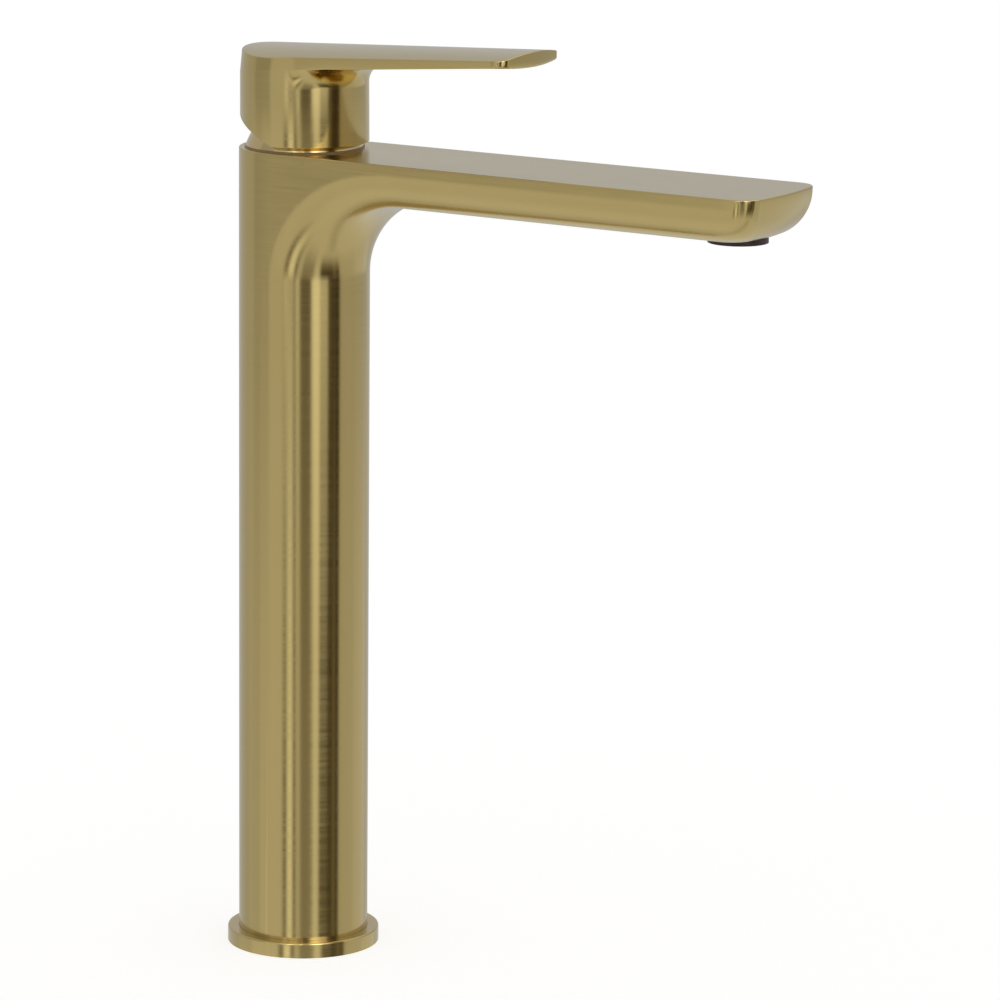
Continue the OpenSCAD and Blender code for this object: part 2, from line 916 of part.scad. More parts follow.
// ---------------------------------------------------------------- aerator
aerator_low = spout_bottom - aerator_proud;
outlet_seal_h = 1.3;
outlet_seal_w = 1.5;
aerator_top = spout_bottom + boss_h - seat_step - outlet_seal_h;
cup_wall = 1.4;
cup_floor = 1;
cup_rim = 0.8;
insert_r = aerator_r - cup_wall - slip_gap;
screen_t = 0.6;
mesh_pitch = 2.4;
mesh_hole = 1.6;
mesh_rows = 2;
mesh_reach = 2.7;
core_hole_r = 0.9;
core_rings = [[0, 1], [3, 6], [5.8, 12]];
core_low = aerator_low + cup_floor + screen_t;

module aerator_housing() {
    color(dark_plastic)
    translate([outlet_x, 0, 0])
        difference() {
            translate([0, 0, aerator_low])
                cylinder(h = aerator_top - aerator_low, r = aerator_r);
            translate([0, 0, aerator_low + cup_floor])
                cylinder(h = big, r = aerator_r - cup_wall);
            translate([0, 0, aerator_low - over])
                cylinder(h = big, r = aerator_r - cup_wall - cup_rim);
        }
}

module aerator_screen() {
    color(dark_plastic)
    translate([outlet_x, 0, aerator_low + cup_floor])
        difference() {
            cylinder(h = screen_t, r = insert_r);
            for (x = [-mesh_rows:mesh_rows], y = [-mesh_rows:mesh_rows])
                if (norm([x, y]) < mesh_reach)
                    translate([x * mesh_pitch, y * mesh_pitch, screen_t / 2])
                        cube([mesh_hole, mesh_hole, screen_t + over], center = true);
        }
}

module aerator_core() {
    color(pale_plastic)
    translate([outlet_x, 0, core_low])
        difference() {
            cylinder(h = aerator_top - core_low, r = insert_r);
            for (ring = core_rings)
                for (i = [0:ring[1] - 1])
                    rotate([0, 0, 360 * i / ring[1]])
                        translate([ring[0], 0, -over])
                            cylinder(h = big, r = core_hole_r, $fn = 16);
        }
}

module aerator_seal() {
    color(rubber)
    translate([outlet_x, 0, aerator_top])
        difference() {
            cylinder(h = outlet_seal_h, r = aerator_r);
            translate([0, 0, -over])
                cylinder(h = outlet_seal_h + 2 * over, r = aerator_r - outlet_seal_w);
        }
}

faucet_body();
base_ring();
base_gasket();
inlet_block();
hot_supply_tube();
cold_supply_tube();
tube_seals();
valve_housing();
housing_seals();
cartridge_base();
cartridge_seals();
fixed_disc();
moving_disc();
disc_carrier();
cartridge_shell();
swivel_collar();
pivot_pin();
spindle();
retaining_nut();
slip_ring();
dome_cap();
handle();
grub_screw();
aerator_housing();
aerator_core();
aerator_screen();
aerator_seal();
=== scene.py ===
import json
import math

import bmesh
import bpy
import numpy as np
from mathutils import Matrix, Vector


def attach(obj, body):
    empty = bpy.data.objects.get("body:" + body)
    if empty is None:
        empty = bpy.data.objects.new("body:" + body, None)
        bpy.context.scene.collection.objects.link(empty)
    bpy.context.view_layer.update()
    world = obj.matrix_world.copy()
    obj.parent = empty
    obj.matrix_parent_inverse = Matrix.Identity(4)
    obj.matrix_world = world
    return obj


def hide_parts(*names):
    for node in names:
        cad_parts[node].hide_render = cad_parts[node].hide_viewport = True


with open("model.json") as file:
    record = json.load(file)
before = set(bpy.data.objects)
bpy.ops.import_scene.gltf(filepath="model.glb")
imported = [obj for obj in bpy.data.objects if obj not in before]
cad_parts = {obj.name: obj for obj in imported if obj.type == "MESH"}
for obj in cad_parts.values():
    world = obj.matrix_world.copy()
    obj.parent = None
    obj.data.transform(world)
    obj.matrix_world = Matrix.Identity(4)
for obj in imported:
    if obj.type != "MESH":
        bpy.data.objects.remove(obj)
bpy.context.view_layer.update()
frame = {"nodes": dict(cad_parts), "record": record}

MM = 0.001
nodes = frame["nodes"]

# ---------------------------------------------------------------- sizes, in millimetres
# The same sizes as in the part's source, with the finer edges of the shapes that are drawn here.
# Column and spout
COLUMN_R = 23.0
BODY_H = 287.0
BORE_R = 20.6
LEDGE_H = 2.4
SPOUT_REACH = 193.1
SPOUT_T = 16.0
SPOUT_FLARE = 1.5 / SPOUT_REACH
SPOUT_CORNER_R = 8.0
SPOUT_BOW = 2.8
SIDE_ROUND = 10.0
SIDE_FLAT = 3.0
NOSE_ROUND = 10.3
NECK_R = 28.0
WALL_INSET = 0.06  # how far the wall behind the elbow lies inside the column's round
OUTLET_X = 173.8
OUTLET_R = 10.4
OUTLET_LIP = 1.5
OUTLET_SEAT_H = 8.5
OUTLET_LIP_H = 11.0
SPOUT_LOW = BODY_H - SPOUT_T
SIDE_DEPTH = SPOUT_T - SIDE_FLAT
FLAT_HALF_W = COLUMN_R - SIDE_ROUND
ELBOW_X = COLUMN_R + NECK_R
ELBOW_Z = SPOUT_LOW - NECK_R
TOP_EDGE = 0.45  # rounding of the top face's edge
TOP_LAND = 0.12  # narrow flat ring inside that edge
FOOT_EDGE = 0.2  # chamfer over the ledge

# Handle
KNOB_R = 22.6
KNOB_TOP_R = 22.0
KNOB_Z = 289.15
KNOB_EDGE = 0.35
DRAFT_H = 10.0
HANDLE_TOP = 322.7
HANDLE_REACH = 94.2
BLADE_W0 = 21.2
BLADE_W1 = 18.6
BLADE_FLARE = (BLADE_W1 - BLADE_W0) / HANDLE_REACH
TOP_RISE = math.radians(2.7)
UNDER_RISE = math.radians(4.6)
BLADE_DROP = 7.2
CROWN_R = 100.0
BELLY_R = 140.0
BLADE_CORNER_R = 4.5
BLADE_BOW = 2.0
BLADE_FILLET = 7.5
RIM_MARGIN = 0.1  # how far the knob's back stays inside its upper radius
CUT_ANGLE = math.radians(25.0)
CUT_X = 1.0
STEM_R = 3.9
SOCKET_TOP = 314.3
GRUB_Z = 307.4
GRUB_R = 2.6
GRUB_HOLE = (-KNOB_R - 3.0, -2.0)  # from outside the knob to inside the socket

# The blade's lower rim: its rounding, the room it takes along the underside, and what its tip adds
RIM_LOW_R, RIM_LOW_R_TIP = 0.5, 0.6
RIM_ROOM, RIM_ROOM_TIP = 0.7, 0.9
RIM_TOP_R = 0.4
TIP_SHARE = 0.25

# Dome under the knob
PIVOT_Z = 280.6
DOME_R = 21.8
DOME_GAP = 0.3
DOME_WALL = 1.4
DOME_MOUTH_R = 14.2
DOME_EDGE = 0.12
RING_TOP = 287.5
WEB_TOP = 288.5

# Angles between faces, in degrees, above which an edge is shown sharp
BODY_SHARP, HANDLE_SHARP, DOME_SHARP = 32, 38, 35
TINY = 1e-6
OVER = 2.0  # how far a cutting tool stands out
WELD = 1e-7  # in metres


# ---------------------------------------------------------------- mesh helpers
def smooth_max(a, b, width):
    """The larger of two lengths, with a smooth passage from one to the other."""
    near = np.maximum(width - np.abs(a - b), 0)
    return np.maximum(a, b) + near * near / (4 * width)


def eased(share):
    """A smooth step from 0 to 1."""
    return share ** 2 * (3 - 2 * share)


def arc(start, end, count, endpoint=True):
    """Points of a unit circle from one angle to another."""
    turn = np.linspace(start, end, count, endpoint=endpoint)
    return np.stack([np.cos(turn), np.sin(turn)], 1)


def mirrored(half):
    """The closed outline that a half outline and its mirror image make."""
    return np.concatenate([half, half[-2:0:-1] * [1, -1]])


def flat_ring(points, z):
    """Points of a plan outline at a height."""
    return np.concatenate([points, np.full((len(points), 1), z)], 1)


def bowed_end(half_w, slope, reach, corner_r, bow, front, corner):
    """Half of a bar's bowed front with its rounded corner, and the x where its side begins."""
    tip_w = half_w + slope * (reach - bow - corner_r)
    corner_y = tip_w - corner_r
    corner_x = reach - bow * (corner_y / tip_w) ** 2 - corner_r
    y = corner_y * np.arange(front) / front
    bowed = np.stack([reach - bow * (y / tip_w) ** 2, y], 1)
    rounding = [corner_x, corner_y] + corner_r * arc(0, math.pi / 2, corner, endpoint=False)
    return np.concatenate([bowed, rounding]), corner_x


def new_mesh(name, verts, faces):
    """A new object in the scene, from points in metres."""
    me = bpy.data.meshes.new(name)
    me.from_pydata([tuple(v) for v in verts], [], faces)
    me.validate()
    me.update()
    o = bpy.data.objects.new(name, me)
    bpy.context.scene.collection.objects.link(o)
    return o


def ring_faces(count, n, close):
    """Faces between neighbouring rings of n points; with close, the last one joins the first."""
    faces = []
    for k in range(count if close else count - 1):
        a, b = k * n, (k + 1) % count * n
        faces += [(a + i, b + i, b + (i + 1) % n, a + (i + 1) % n) for i in range(n)]
    return faces


def ring_mesh(name, rings):
    """A closed skin through rings of points (each an n x 3 array in millimetres)."""
    return new_mesh(name, np.concatenate(rings) * MM, ring_faces(len(rings), len(rings[0]), True))


def shade(o, sharp):
    """Smooth shading with sharp edges above an angle in degrees."""
    o.data.shade_smooth()
    o.data.set_sharp_from_angle(angle=math.radians(sharp))
    return o


def tidy_mesh(o, sharp):
    """Welds doubles, points every normal outwards and marks the sharp edges."""
    bm = bmesh.new()
    bm.from_mesh(o.data)
    bmesh.ops.remove_doubles(bm, verts=bm.verts, dist=WELD)
    bmesh.ops.dissolve_degenerate(bm, edges=bm.edges, dist=WELD)
    bmesh.ops.recalc_face_normals(bm, faces=bm.faces)
    bm.to_mesh(o.data)
    bm.free()
    return shade(o, sharp)


def cut(o, tools, sharp):
    """Subtracts the tool objects from o and removes them."""
    for tool in tools:
        mod = o.modifiers.new("cut", "BOOLEAN")
        mod.operation = "DIFFERENCE"
        mod.solver = "EXACT"
        mod.object = tool
    bpy.context.view_layer.update()
    me = bpy.data.meshes.new_from_object(o.evaluated_get(bpy.context.evaluated_depsgraph_get()))
    o.modifiers.clear()
    o.data = me
    for tool in tools:
        bpy.data.objects.remove(tool)
    return shade(o, sharp)


def rod(name, r, low, high, at, axis="Z", n=96):
    """A closed cylinder along Z or X between two heights or distances, used for cutting."""
    ring = at + r * arc(0, 2 * math.pi, n, endpoint=False)
    verts = np.concatenate([flat_ring(ring, low), flat_ring(ring, high)])
    if axis == "X":
        verts = verts[:, [2, 0, 1]]
    faces = [(i, (i + 1) % n, n + (i + 1) % n, n + i) for i in range(n)]
    faces += [tuple(range(n - 1, -1, -1)), tuple(range(n, 2 * n))]
    return new_mesh(name, verts * MM, faces)


# ---------------------------------------------------------------- body
# Points of each half outline of the body, from the spout's front round to the column's back
FRONT_N, CORNER_N, SIDE_N, NECK_N, WALL_N, BACK_N = 14, 24, 40, 60, 24, 60
# Steps from the top face down: its edge, the rounded side, and the elbow
EDGE_STEPS, ROUND_STEPS, ELBOW_STEPS = 6, 40, 50
# Heights of the rings of the plain column
COLUMN_LEVELS = (ELBOW_Z - 3, ELBOW_Z - 20, 120, 60, LEDGE_H + FOOT_EDGE)
# What keeps rings apart: the land under the top edge, and a step above and below the underside
EDGE_LAND, STEP_ABOVE, STEP_BELOW = 0.1, 1e-4, 0.01
HALVINGS = 40  # of the distance in which the elbow's front is sought


def side_inset(depth):
    """How far the side draws back at a depth below the top face."""
    share = max(0.0, depth - SIDE_FLAT) / SIDE_DEPTH
    return SIDE_ROUND * (1 - math.sqrt(max(0.0, 1 - share ** 2)))


def nose_inset(depth):
    """How far the spout's front draws back at a depth below the top face."""
    return NOSE_ROUND * (1 - math.sqrt(max(0.0, 1 - (depth / SPOUT_T) ** 2)))


def under_rise(y):
    """Rise of the spout's underside and rounded side at a distance y from its middle."""
    share = np.clip((y - FLAT_HALF_W) / SIDE_ROUND, 0, 1)
    return SIDE_DEPTH * (1 - np.sqrt(1 - share ** 2))


def neck_x(y, z):
    """Front of the column at a height, where its round section bends over into the spout's."""
    near, far = np.sqrt(np.maximum(COLUMN_R ** 2 - y ** 2, 0)), np.full(len(y), ELBOW_X)
    side, under = COLUMN_R - near, under_rise(y)
    rise = z - ELBOW_Z
    if rise <= 0:
        return near
    for _ in range(HALVINGS):
        x = (near + far) / 2
        share = eased(np.arctan2(rise, ELBOW_X - x) / (math.pi / 2))
        inside = np.hypot(ELBOW_X - x, rise) > NECK_R + side + (under - side) * share
        near, far = np.where(inside, x, near), np.where(inside, far, x)
    return near


def body_level(z, edge=0.0):
    """Outline of the body at a height, from the front round the back, as n x 2 points."""
    depth = BODY_H - z
    inset = WALL_INSET if depth >= SPOUT_T else min(WALL_INSET, 0.5 * side_inset(depth))
    wall_y = COLUMN_R - inset
    ease = eased(np.linspace(0, 1, NECK_N + 1))
    flare = SPOUT_FLARE * eased(min(1.0, max(0.0, (z - ELBOW_Z) / NECK_R)))
    pts = []
    if depth < SPOUT_T:
        half_w = COLUMN_R - side_inset(depth) - edge
        front, corner_x = bowed_end(half_w, SPOUT_FLARE, SPOUT_REACH - nose_inset(depth) - edge,
                                    SPOUT_CORNER_R - edge, SPOUT_BOW, FRONT_N, CORNER_N)
        run = corner_x + (ELBOW_X - corner_x) * np.arange(SIDE_N) / SIDE_N
        pts += [front, np.stack([run, half_w + SPOUT_FLARE * run], 1)]
        y = half_w + (wall_y - half_w) * ease
    else:
        count = FRONT_N + CORNER_N + SIDE_N
        y = np.concatenate([FLAT_HALF_W * np.arange(count) / count,
                            FLAT_HALF_W + (wall_y - FLAT_HALF_W) * ease])
    if depth > SIDE_FLAT + TINY:
        x = neck_x(y, z)
        flat_x = min(x[-1], neck_x(np.array([COLUMN_R]), z)[0])
        run = x[-1] * (1 - np.arange(1, WALL_N) / WALL_N)
        part = np.maximum(0, run - flat_x) / max(TINY, x[-1] - flat_x)
        x, y = np.concatenate([x, run]), np.concatenate([y, COLUMN_R - inset * part ** 2])
    else:
        x = ELBOW_X * (1 - np.arange(NECK_N + WALL_N) / (NECK_N + WALL_N))
        y = np.full(NECK_N + WALL_N, COLUMN_R - edge)
    pts.append(np.stack([x, y + flare * x * np.minimum(1, y / FLAT_HALF_W)], 1))
    pts.append((COLUMN_R - edge) * arc(math.pi / 2, math.pi, BACK_N + 1))
    return mirrored(np.concatenate(pts))


def on_circle(points, r):
    """The points moved along their rays from the axis to a radius."""
    turn = np.arctan2(points[:, 1], points[:, 0])
    return np.stack([r * np.cos(turn), r * np.sin(turn)], 1)


def body_piece():
    """Column and spout in one skin, from the bore over the top face down to the ledge."""
    bore = on_circle(body_level(BODY_H, TOP_EDGE), BORE_R)
    rings = [flat_ring(bore, LEDGE_H), flat_ring(bore, BODY_H),
             flat_ring(body_level(BODY_H, TOP_EDGE + TOP_LAND), BODY_H)]
    for i in range(EDGE_STEPS + 1):
        turn = math.pi / 2 * i / EDGE_STEPS
        z = BODY_H - TOP_EDGE * (1 - math.cos(turn))
        rings.append(flat_ring(body_level(z, TOP_EDGE * (1 - math.sin(turn))), z))
    levels = [BODY_H - TOP_EDGE - EDGE_LAND, BODY_H - SIDE_FLAT]
    for i in range(1, ROUND_STEPS + 1):
        z = BODY_H - SIDE_FLAT - SIDE_DEPTH * math.sin(math.pi / 2 * i / ROUND_STEPS)
        levels.append(max(z, SPOUT_LOW + STEP_ABOVE))
    levels.append(SPOUT_LOW - STEP_BELOW)
    for i in range(1, ELBOW_STEPS + 1):
        levels.append(ELBOW_Z + NECK_R * math.sin(math.pi / 2 * (1 - i / ELBOW_STEPS)))
    rings += [flat_ring(body_level(z), z) for z in levels]
    column = body_level(COLUMN_LEVELS[0])
    rings += [flat_ring(column, z) for z in COLUMN_LEVELS]
    rings.append(flat_ring(on_circle(column, COLUMN_R - FOOT_EDGE), LEDGE_H))
    o = tidy_mesh(ring_mesh("body_shell", rings), BODY_SHARP)
    at = (OUTLET_X, 0)
    seat = rod("seat_cut", OUTLET_R, SPOUT_LOW - OVER, SPOUT_LOW + OUTLET_SEAT_H, at)
    lip = rod("lip_cut", OUTLET_R - OUTLET_LIP, SPOUT_LOW, SPOUT_LOW + OUTLET_LIP_H, at)
    return cut(o, [seat, lip], BODY_SHARP)


# ---------------------------------------------------------------- handle
# Points of the handle's half outline: front, corner, side and back
BLADE_FRONT_N, BLADE_CORNER_N, BLADE_SIDE_N, KNOB_BACK_N = 16, 26, 90, 64
# How much closer together the side's points lie towards the knob
SIDE_CROWDING = 1.6
# Points of a section: the dome's hollow, the knob's lower edge, the fillet under the blade, its
# underside, and the two roundings of its rim
HOLLOW_N, KNOB_EDGE_N, FILLET_N, UNDER_N, RIM_LOW_N, RIM_TOP_N = 14, 6, 20, 6, 6, 7
# Distances of the crown's points from the axis, as shares of the rim's
CROWN_SHARES = (0.985, 0.93, 0.8, 0.62, 0.44, 0.27, 0.12)
# How softly the blade's side leaves the knob's wall, and the reach over which its tilt is measured
WALL_MELT, TILT_REACH = 0.5, 8.0
MIN_REACH = 1e-3  # of the blade's side beyond the wall, at the knob's back
SETTLINGS = 30  # rounds until the hollow's edge has settled on the oblique cut
LEG_SHARE = 0.48  # how much of each leg of a corner its rounding may take


def crown(x, y):
    """Height of the handle's crowned top."""
    drop = CROWN_R - np.sqrt(np.maximum(CROWN_R ** 2 - y ** 2, 0))
    return float(HANDLE_TOP + x * math.tan(TOP_RISE) - drop / math.cos(TOP_RISE))


def belly(x, y):
    """Height of the blade's bellied underside."""
    centre = HANDLE_TOP - BLADE_DROP - BLADE_W1 ** 2 / (2 * BELLY_R)
    rise = BELLY_R - np.sqrt(np.maximum(BELLY_R ** 2 - y ** 2, 0))
    return float(centre + x * math.tan(UNDER_RISE) + rise / math.cos(UNDER_RISE))


def knob_wall(z):
    """Radius of the knob's wall at a height, with the draft of its upper part."""
    share = min(1.0, max(0.0, (z - (HANDLE_TOP - DRAFT_H)) / DRAFT_H))
    return KNOB_R + (KNOB_TOP_R - KNOB_R) * share


def rounded(points, radii, steps):
    """A polyline with arcs at its inner corners; the number of points never changes."""
    out = [points[0]]
    for p, before, after, radius, count in zip(points[1:], points, points[2:], radii, steps):
        da, db = before - p, after - p
        la, lb = np.linalg.norm(da), np.linalg.norm(db)
        da, db = da / la, db / lb
        half = math.acos(max(-1.0, min(1.0, float(da @ db)))) / 2
        length = min(radius / math.tan(half), LEG_SHARE * la, LEG_SHARE * lb)
        r = length * math.tan(half)
        mid = da + db
        centre = p + mid / np.linalg.norm(mid) * (r / math.sin(half))
        start, end = p + da * length - centre, p + db * length - centre
        a0 = math.atan2(start[1], start[0])
        sweep = math.atan2(end[1], end[0]) - a0
        sweep = (sweep + math.pi) % (2 * math.pi) - math.pi
        for k in range(count + 1):
            turn = a0 + sweep * k / count
            out.append(centre + r * np.array([math.cos(turn), math.sin(turn)]))
    out.append(points[-1])
    return np.array(out)


# A section of the handle lies in a half plane through the knob's axis, at an angle with the cosine
# c and the sine s, as points (distance from the axis, height). Its three parts follow each other.
def cut_z(x):
    """Height of the knob's lower end, which is cut away obliquely towards the back."""
    return KNOB_Z + max(0.0, CUT_X - x) * math.tan(CUT_ANGLE)


def hollow_section(c):
    """The stem's socket and the hollow round the dome, down to the knob's lower end."""
    hollow_r = DOME_R + DOME_GAP
    r = hollow_r
    for _ in range(SETTLINGS):
        r = math.sqrt(hollow_r ** 2 - (cut_z(r * c) - PIVOT_Z) ** 2)
    turns = np.linspace(math.acos(STEM_R / hollow_r), math.acos(r / hollow_r), HOLLOW_N)
    return [(STEM_R, SOCKET_TOP)] + [
        (hollow_r * math.cos(turn), PIVOT_Z + hollow_r * math.sin(turn)) for turn in turns]


def knob_edge_section(c):
    """The rounding of the knob's lower edge."""
    z, lead, rise = cut_z(KNOB_R * c), 1.5, 5.0
    slope = 0.0 if c > CUT_X / KNOB_R else -c * math.tan(CUT_ANGLE)
    corner = [(KNOB_R - lead, z - lead * slope), (KNOB_R, z), (KNOB_R, z + rise)]
    return rounded(np.array(corner), [KNOB_EDGE], [KNOB_EDGE_N])[1:-1]


def blade_section(c, s, blade_r):
    """The fillet under the blade, the blade's underside, its rounded rim and the crown."""
    wall = knob_wall(belly(KNOB_R * c, KNOB_R * s) - 1)
    side_r = float(smooth_max(blade_r, wall, WALL_MELT))
    reach = max(side_r - wall, MIN_REACH)
    wall_z, side_z = belly(wall * c, wall * s), belly(side_r * c, side_r * s)
    tilt = math.atan2(side_z - wall_z, max(reach, TILT_REACH))
    rise, room = BLADE_FILLET * math.cos(tilt), BLADE_FILLET * (1 + math.sin(tilt))
    if reach > room:
        r, sweep, straight = BLADE_FILLET, math.pi / 2 + tilt, (reach - room) / math.cos(tilt)
    else:
        r, sweep, straight = (rise ** 2 + reach ** 2) / (2 * reach), 2 * math.atan2(reach, rise), 0.0
    low_z = side_z - straight * math.sin(tilt) - rise
    tip = (blade_r * c / HANDLE_REACH - (1 - TIP_SHARE)) / TIP_SHARE
    tip = min(1.0, max(0.0, tip))
    total = r * sweep + straight - RIM_ROOM - RIM_ROOM_TIP * tip
    bend = min(r * sweep, total)
    section = []
    for turn in np.linspace(0, bend / r, FILLET_N):
        section.append((wall + r * (1 - math.cos(turn)), low_z + r * math.sin(turn)))
    along = (total - bend) * np.array((math.cos(tilt), math.sin(tilt)))
    bend_end = np.array(section[-1])
    section += [bend_end + along * (i / UNDER_N) for i in range(1, UNDER_N + 1)]
    half_r = blade_r / 2
    rim = [section[-1], (side_r, side_z), (blade_r, crown(blade_r * c, blade_r * s)),
           (half_r, crown(half_r * c, half_r * s))]
    radii = [RIM_LOW_R + RIM_LOW_R_TIP * tip, RIM_TOP_R]
    section += list(rounded(np.array(rim), radii, [RIM_LOW_N, RIM_TOP_N])[1:-1])
    edge_r = section[-1][0]
    section += [(r, crown(r * c, r * s)) for r in (edge_r * share for share in CROWN_SHARES)]
    return section


def handle_piece():
    """Knob and blade: a section for each point of the plan's outline, all joined into rings."""
    front, corner_x = bowed_end(BLADE_W0, BLADE_FLARE, HANDLE_REACH, BLADE_CORNER_R, BLADE_BOW,
                                BLADE_FRONT_N, BLADE_CORNER_N)
    x = corner_x * (1 - np.arange(BLADE_SIDE_N) / BLADE_SIDE_N) ** SIDE_CROWDING
    bar = np.concatenate([front, np.stack([x, BLADE_W0 + BLADE_FLARE * x], 1)])
    rim_r = KNOB_TOP_R - RIM_MARGIN
    far = smooth_max(rim_r, np.hypot(bar[:, 0], bar[:, 1]), KNOB_TOP_R - BLADE_W0)
    back = rim_r * arc(math.pi / 2, math.pi, KNOB_BACK_N + 1)
    outline = mirrored(np.concatenate([on_circle(bar, far), back]))
    columns = []
    for x, y in outline:
        far = math.hypot(x, y)
        c, s = x / far, y / far
        section = [*hollow_section(c), *knob_edge_section(c), *blade_section(c, s, far)]
        columns.append([(r * c, r * s, z) for r, z in section])
    columns = np.array(columns)
    n, count = columns.shape[:2]
    verts = columns.transpose(1, 0, 2).reshape(-1, 3)
    faces = ring_faces(count, n, False)
    top, socket, last = n * count, n * count + 1, n * (count - 1)
    verts = np.concatenate([verts, [[0, 0, crown(0.0, 0.0)], [0, 0, SOCKET_TOP]]])
    for i in range(n):
        j = (i + 1) % n
        faces += [(last + i, top, last + j), (j, socket, i)]
    o = tidy_mesh(new_mesh("lever_handle", verts * MM, faces), HANDLE_SHARP)
    hole = rod("grub_cut", GRUB_R, *GRUB_HOLE, (0, GRUB_Z), axis="X", n=64)
    return cut(o, [hole], HANDLE_SHARP)


# ---------------------------------------------------------------- dome
# Points round the dome, and along its foot, its face and its inside
DOME_N, DOME_FOOT_N, DOME_FACE_N, DOME_INSIDE_N = 256, 6, 40, 16
# Angles that the face and the inside leave free beside their neighbours, and the mouth's small step
FACE_SKIP, INSIDE_SKIP = 0.004, 0.01
MOUTH_STEP = (0.03, -0.02)


def dome_piece():
    """The polished dome under the knob, with the rounded lower edge and mouth of a turned part."""
    inner = DOME_R - DOME_WALL
    low, web = RING_TOP - PIVOT_Z, WEB_TOP - PIVOT_Z
    top = math.sqrt(DOME_R ** 2 - DOME_MOUTH_R ** 2)
    start = math.asin((low + DOME_EDGE) / DOME_R)
    end = math.acos((DOME_MOUTH_R + DOME_EDGE) / DOME_R)
    foot = np.array([DOME_R * math.cos(start) - DOME_EDGE, low + DOME_EDGE])
    mouth = math.acos(DOME_MOUTH_R / inner)
    profile = np.concatenate([
        [(DOME_MOUTH_R, web), (DOME_MOUTH_R, low)],
        foot + DOME_EDGE * arc(-math.pi / 2, 0, DOME_FOOT_N),
        DOME_R * arc(start + FACE_SKIP, end, DOME_FACE_N),
        [(DOME_MOUTH_R + MOUTH_STEP[0], top + MOUTH_STEP[1]), (DOME_MOUTH_R, top - DOME_EDGE)],
        [(DOME_MOUTH_R, math.sqrt(inner ** 2 - DOME_MOUTH_R ** 2))],
        inner * arc(mouth - INSIDE_SKIP, math.asin(web / inner), DOME_INSIDE_N)])
    circle = arc(0, 2 * math.pi, DOME_N, endpoint=False)
    rings = [flat_ring(r * circle, PIVOT_Z + z) for r, z in profile]
    return tidy_mesh(ring_mesh("dome_shell", rings), DOME_SHARP)


# ---------------------------------------------------------------- materials
IOR = 1.5

# Brushed metal: strokes per metre along and across them, with the noise's detail and roughness
FINE_STROKES, WIDE_STROKES = (60.0, 2600.0, 3.0, 0.6), (25.0, 700.0, 2.0, 0.5)
FINE_SHARE = 0.6
# The part of the strokes' noise that counts, and the tone that it gives
STROKE_NOISE, STROKE_TONE = (0.3, 0.7), (0.38, 0.62)
STROKE_BUMP, STROKE_DEPTH = 0.07, 0.0001
# The vertical part of the normal where the strokes go over from those of a side to those of a top
TOP_FACE = (0.6, 0.85)
# Clouds over the strokes: their noise, and what they add to tone and roughness
CLOUD_NOISE, CLOUD_TONE, CLOUD_ROUGH = (38.0, 3.0, 0.55), 0.5, 0.06
# Painted edge highlights: the edges' pointiness, how much they show, how much brighter they are
EDGE_HIGHLIGHT_METAL, EDGE_HIGHLIGHT_METAL_SHARE, EDGE_HIGHLIGHT_METAL_GAIN = (0.53, 0.62), 0.35, 1.25
COAT_ROUGH = 0.22

# Moulded pieces: noise of the grain and of the coarser clouds, and the tone and roughness they give
GRAIN_NOISE, COARSE_NOISE, COARSER = (4.0, 0.65), (2.0, 0.5), 14
GRAIN_TONE, GRAIN_RANGE, GRAIN_ROUGH = (0.35, 0.65), (0.3, 0.7), (-0.06, 0.08)
GRAIN_BUMP = 0.3
# Painted edge highlights on moulded pieces: pointiness, how much they show, how much brighter and paler
EDGE_HIGHLIGHT_PLASTIC, EDGE_HIGHLIGHT_PLASTIC_SHARE = (0.53, 0.64), 0.4
EDGE_HIGHLIGHT_PLASTIC_GAIN, EDGE_HIGHLIGHT_PLASTIC_PALER = 1.5, 0.02


